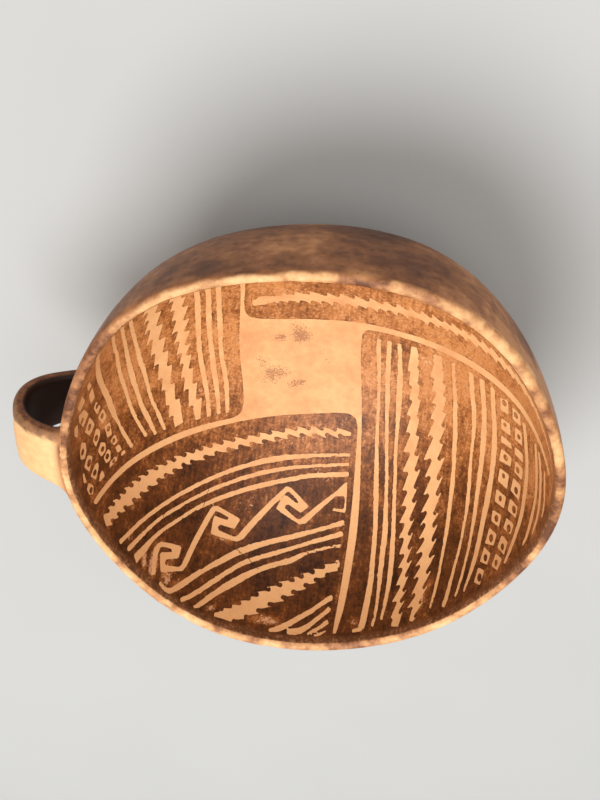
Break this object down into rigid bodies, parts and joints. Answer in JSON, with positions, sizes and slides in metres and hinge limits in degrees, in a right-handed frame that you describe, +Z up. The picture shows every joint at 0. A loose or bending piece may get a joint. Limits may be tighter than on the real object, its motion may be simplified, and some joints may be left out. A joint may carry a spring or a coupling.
{
  "type": "handled pottery bowl",
  "caption": "Deep round-bottomed hand-built pottery bowl with a vertical strap handle on its side, painted inside in traditional geometric bands; open, hollow, stands on a small worn flat.",
  "frame": {"origin": "centre of the worn flat that the bowl stands on", "axes": "+X from the middle of the bowl out through the handle, +Z up through the open mouth"},
  "size_m": [0.2499, 0.2371, 0.1112],
  "materials": {
    "painted_clay": "matt to softly burnished fired clay, buff slip with dark brown paint inside, smoke-mottled brown outside"
  },
  "bodies": {
    "root": {"handled_bowl": "painted_clay"}
  },
  "joints": []
}
